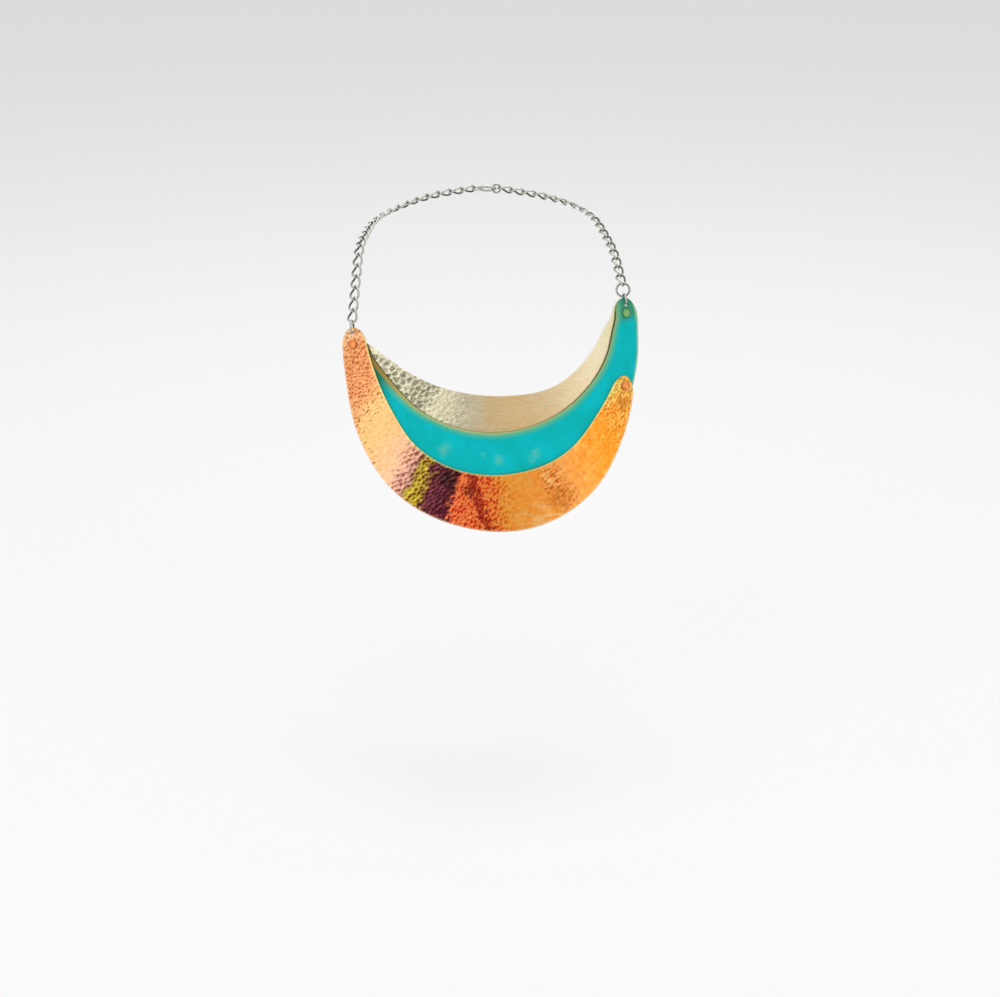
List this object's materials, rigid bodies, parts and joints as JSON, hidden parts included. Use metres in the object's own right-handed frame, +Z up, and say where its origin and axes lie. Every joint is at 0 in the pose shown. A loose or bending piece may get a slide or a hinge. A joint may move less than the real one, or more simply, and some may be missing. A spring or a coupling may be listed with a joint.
{
  "type": "bib necklace",
  "caption": "Worn bib necklace: overlapping riveted sheet-metal crescents in copper, turquoise patina and brass, hung on an open curb chain.",
  "frame": {"origin": "the nape, on the side of the clasp that lies on the neck", "axes": "+Z up as worn, -Y towards the front where the bib hangs, +X to the right as seen from the front"},
  "size_m": [0.1629, 0.1739, 0.1511],
  "materials": {
    "copper": "hammered copper with torch colours, polished",
    "patina": "flat turquoise patina on copper, satin, worn thin at the edges",
    "brass": "pale hammered brass, polished",
    "greened_copper": "green patina on a copper rivet",
    "chain_metal": "antiqued pale metal, satin"
  },
  "bodies": {
    "root": {"brass_crescent": "brass", "patina_crescent": "patina", "copper_crescent": "copper", "left_rivet": "copper", "lower_rivet": "copper", "right_rivet": "greened_copper", "left_ring": "chain_metal", "right_ring": "chain_metal", "large_ring": "chain_metal", "end_ring": "chain_metal", "clasp": "chain_metal", "left_link_01": "chain_metal", "left_link_02": "chain_metal", "left_link_03": "chain_metal", "left_link_04": "chain_metal", "left_link_05": "chain_metal", "left_link_06": "chain_metal", "left_link_07": "chain_metal", "left_link_08": "chain_metal", "left_link_09": "chain_metal", "left_link_10": "chain_metal", "left_link_11": "chain_metal", "left_link_12": "chain_metal", "left_link_13": "chain_metal", "left_link_14": "chain_metal", "left_link_15": "chain_metal", "left_link_16": "chain_metal", "left_link_17": "chain_metal", "left_link_18": "chain_metal", "left_link_19": "chain_metal", "left_link_20": "chain_metal", "left_link_21": "chain_metal", "left_link_22": "chain_metal", "right_link_01": "chain_metal", "right_link_02": "chain_metal", "right_link_03": "chain_metal", "right_link_04": "chain_metal", "right_link_05": "chain_metal", "right_link_06": "chain_metal", "right_link_07": "chain_metal", "right_link_08": "chain_metal", "right_link_09": "chain_metal", "right_link_10": "chain_metal", "right_link_11": "chain_metal", "right_link_12": "chain_metal", "right_link_13": "chain_metal", "right_link_14": "chain_metal", "right_link_15": "chain_metal", "right_link_16": "chain_metal", "right_link_17": "chain_metal", "right_link_18": "chain_metal", "right_link_19": "chain_metal"}
  },
  "joints": []
}
